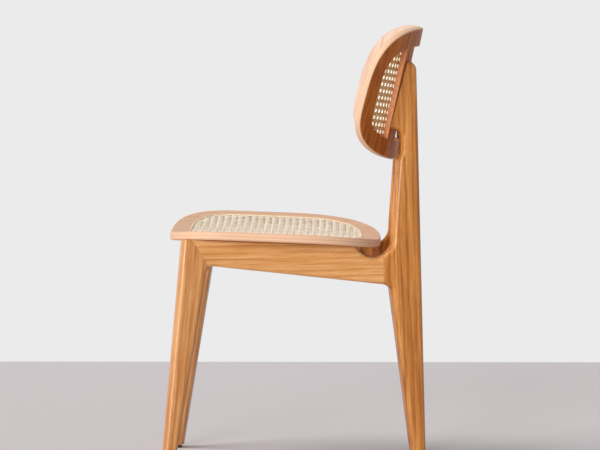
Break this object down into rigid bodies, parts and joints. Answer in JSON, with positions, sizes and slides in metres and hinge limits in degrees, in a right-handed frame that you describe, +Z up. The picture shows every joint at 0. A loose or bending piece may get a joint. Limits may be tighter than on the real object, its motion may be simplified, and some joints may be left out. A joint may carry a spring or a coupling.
{
  "type": "dining chair",
  "caption": "Dining chair in oiled oak: tapered legs in two planar side frames, a dished round-cornered seat and a curved back, both with cane webbing.",
  "frame": {"origin": "on the floor, below the middle of the outer box", "axes": "+Z up, the sitter faces -Y, +X to the sitter's left"},
  "size_m": [0.474, 0.4753, 0.808],
  "materials": {
    "oiled_oak": "oiled, satin, softened edges",
    "oak_veneered_plywood": "moulded plywood, oak veneer, satin lacquer",
    "cane_webbing": "split cane, six-way weave, low sheen",
    "reed_spline": "round reed wedged into its groove",
    "beech": "bare, machined",
    "zinc_plated_steel": "zinc plated",
    "black_nylon": "moulded, matt"
  },
  "bodies": {
    "root": {"front_leg_left": "oiled_oak", "side_rail_left": "oiled_oak", "rear_leg_left": "oiled_oak", "front_glide_left": "black_nylon", "rear_glide_left": "black_nylon", "front_seam_dowel_low_left": "beech", "front_seam_dowel_high_left": "beech", "rear_seam_dowel_low_left": "beech", "rear_seam_dowel_high_left": "beech", "front_rail_dowel_low_left": "beech", "front_rail_dowel_high_left": "beech", "bearer_dowel_low_left": "beech", "bearer_dowel_high_left": "beech", "rear_rail_dowel_low_left": "beech", "rear_rail_dowel_high_left": "beech", "seat_screw_front_left": "zinc_plated_steel", "seat_screw_rear_left": "zinc_plated_steel", "back_screw_low_left": "zinc_plated_steel", "back_screw_high_left": "zinc_plated_steel", "back_plug_low_left": "oiled_oak", "back_plug_high_left": "oiled_oak", "front_leg_right": "oiled_oak", "side_rail_right": "oiled_oak", "rear_leg_right": "oiled_oak", "front_glide_right": "black_nylon", "rear_glide_right": "black_nylon", "front_seam_dowel_low_right": "beech", "front_seam_dowel_high_right": "beech", "rear_seam_dowel_low_right": "beech", "rear_seam_dowel_high_right": "beech", "front_rail_dowel_low_right": "beech", "front_rail_dowel_high_right": "beech", "bearer_dowel_low_right": "beech", "bearer_dowel_high_right": "beech", "rear_rail_dowel_low_right": "beech", "rear_rail_dowel_high_right": "beech", "seat_screw_front_right": "zinc_plated_steel", "seat_screw_rear_right": "zinc_plated_steel", "back_screw_low_right": "zinc_plated_steel", "back_screw_high_right": "zinc_plated_steel", "back_plug_low_right": "oiled_oak", "back_plug_high_right": "oiled_oak", "seat_panel": "oak_veneered_plywood", "seat_spline": "reed_spline", "seat_cane": "cane_webbing", "back_panel": "oak_veneered_plywood", "back_spline": "reed_spline", "back_cane": "cane_webbing", "front_rail": "oiled_oak", "seat_bearer": "oiled_oak", "rear_rail": "oiled_oak", "corner_block_left": "beech", "corner_block_right": "beech"}
  },
  "joints": []
}
